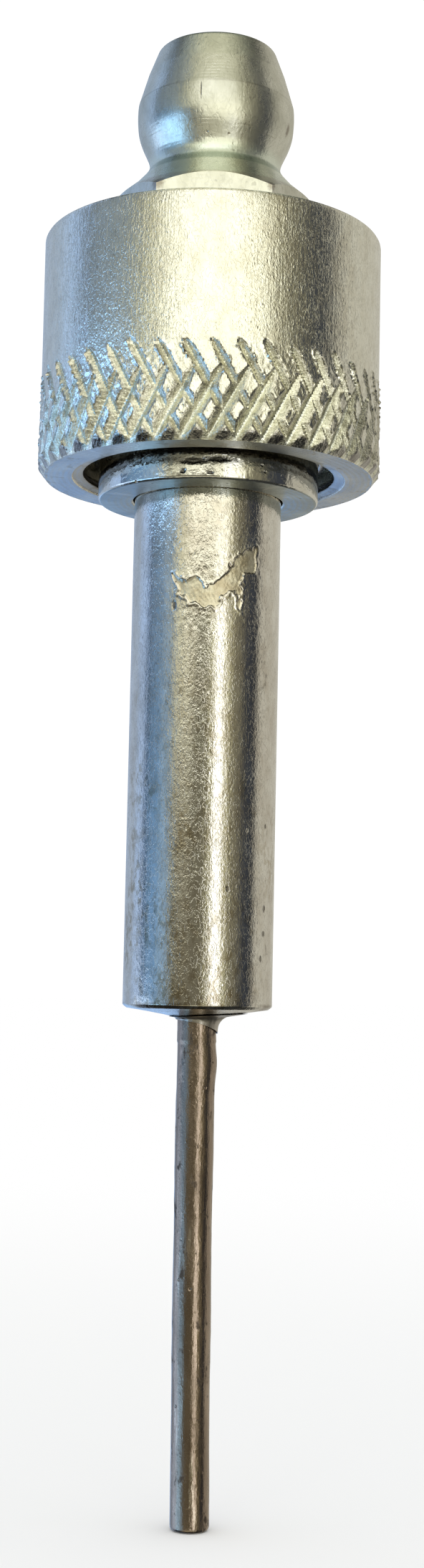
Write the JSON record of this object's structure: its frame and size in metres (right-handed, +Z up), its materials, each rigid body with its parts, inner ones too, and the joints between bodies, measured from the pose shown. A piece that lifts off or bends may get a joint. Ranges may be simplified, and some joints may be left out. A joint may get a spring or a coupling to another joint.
{
  "type": "grease needle injector",
  "caption": "Slim grease injector: a hydraulic grease nipple on a knurled quick-release coupler that holds a plug-in stem with a fine hollow needle.",
  "frame": {"origin": "centre of the needle's cut lower end, which is the bottom centre of the bounding box", "axes": "+Z up the common axis from the needle to the grease nipple; -Y is the side with a wrench flat of the nipple's hexagon facing it"},
  "size_m": [0.0142, 0.0142, 0.06],
  "materials": {
    "body_steel": "bright plated, turned, with small pits",
    "nipple_steel": "zinc plated, slightly dull",
    "sleeve_steel": "zinc plated, fine orange-peel, knurled grip",
    "stem_steel": "plated, mottled, with one chipped mark",
    "needle_steel": "drawn tube, heat-tarnished brown",
    "braze": "as-flowed, dull",
    "ball_steel": "polished",
    "spring_steel": "drawn wire",
    "washer_steel": "plain",
    "seal_rubber": "moulded nitrile",
    "backup_plastic": "PTFE, plain"
  },
  "bodies": {
    "coupler": {"coupler_body": "body_steel", "nipple_body": "nipple_steel", "nipple_check_spring": "spring_steel", "sleeve_spring": "spring_steel", "sleeve_snap_ring": "spring_steel", "stem_seal_ring": "seal_rubber", "seal_backup_ring": "backup_plastic"},
    "sleeve_carrier": {"sleeve_spring_washer": "washer_steel"},
    "sleeve": {"release_sleeve": "sleeve_steel"},
    "lock_ball_1": {"locking_ball_1": "ball_steel"},
    "lock_ball_2": {"locking_ball_2": "ball_steel"},
    "lock_ball_3": {"locking_ball_3": "ball_steel"},
    "lock_ball_4": {"locking_ball_4": "ball_steel"},
    "check_ball": {"nipple_check_ball": "ball_steel"},
    "injector": {"stem": "stem_steel", "needle_tube": "needle_steel", "braze_fillet": "braze"}
  },
  "joints": [
    {"name": "sleeve_slide", "type": "slide", "parent": "coupler", "child": "sleeve_carrier", "axis": [0, 0, 1], "range_m": [0, 0.0011], "deforming": ["sleeve_spring"]},
    {"name": "sleeve_turn", "type": "hinge", "parent": "sleeve_carrier", "child": "sleeve", "pos_m": [0, 0, 0.04185], "axis": [0, 0, 1], "continuous": true},
    {"name": "lock_ball_1_slide", "type": "slide", "parent": "coupler", "child": "lock_ball_1", "axis": [0.7071, 0.7071, 0], "range_m": [0, 0.00055]},
    {"name": "lock_ball_2_slide", "type": "slide", "parent": "coupler", "child": "lock_ball_2", "axis": [-0.7071, 0.7071, 0], "range_m": [0, 0.00055]},
    {"name": "lock_ball_3_slide", "type": "slide", "parent": "coupler", "child": "lock_ball_3", "axis": [-0.7071, -0.7071, 0], "range_m": [0, 0.00055]},
    {"name": "lock_ball_4_slide", "type": "slide", "parent": "coupler", "child": "lock_ball_4", "axis": [0.7071, -0.7071, 0], "range_m": [0, 0.00055]},
    {"name": "check_ball_slide", "type": "slide", "parent": "coupler", "child": "check_ball", "axis": [0, 0, -1], "range_m": [0, 0.0005], "deforming": ["nipple_check_spring"]},
    {"name": "injector_swivel", "type": "hinge", "parent": "coupler", "child": "injector", "pos_m": [0, 0, 0.0409], "axis": [0, 0, 1], "continuous": true}
  ],
  "couplings": [
    {"joint": "lock_ball_1_slide", "follows": "sleeve_slide", "ratio": 0.5},
    {"joint": "lock_ball_2_slide", "follows": "sleeve_slide", "ratio": 0.5},
    {"joint": "lock_ball_3_slide", "follows": "sleeve_slide", "ratio": 0.5},
    {"joint": "lock_ball_4_slide", "follows": "sleeve_slide", "ratio": 0.5}
  ]
}
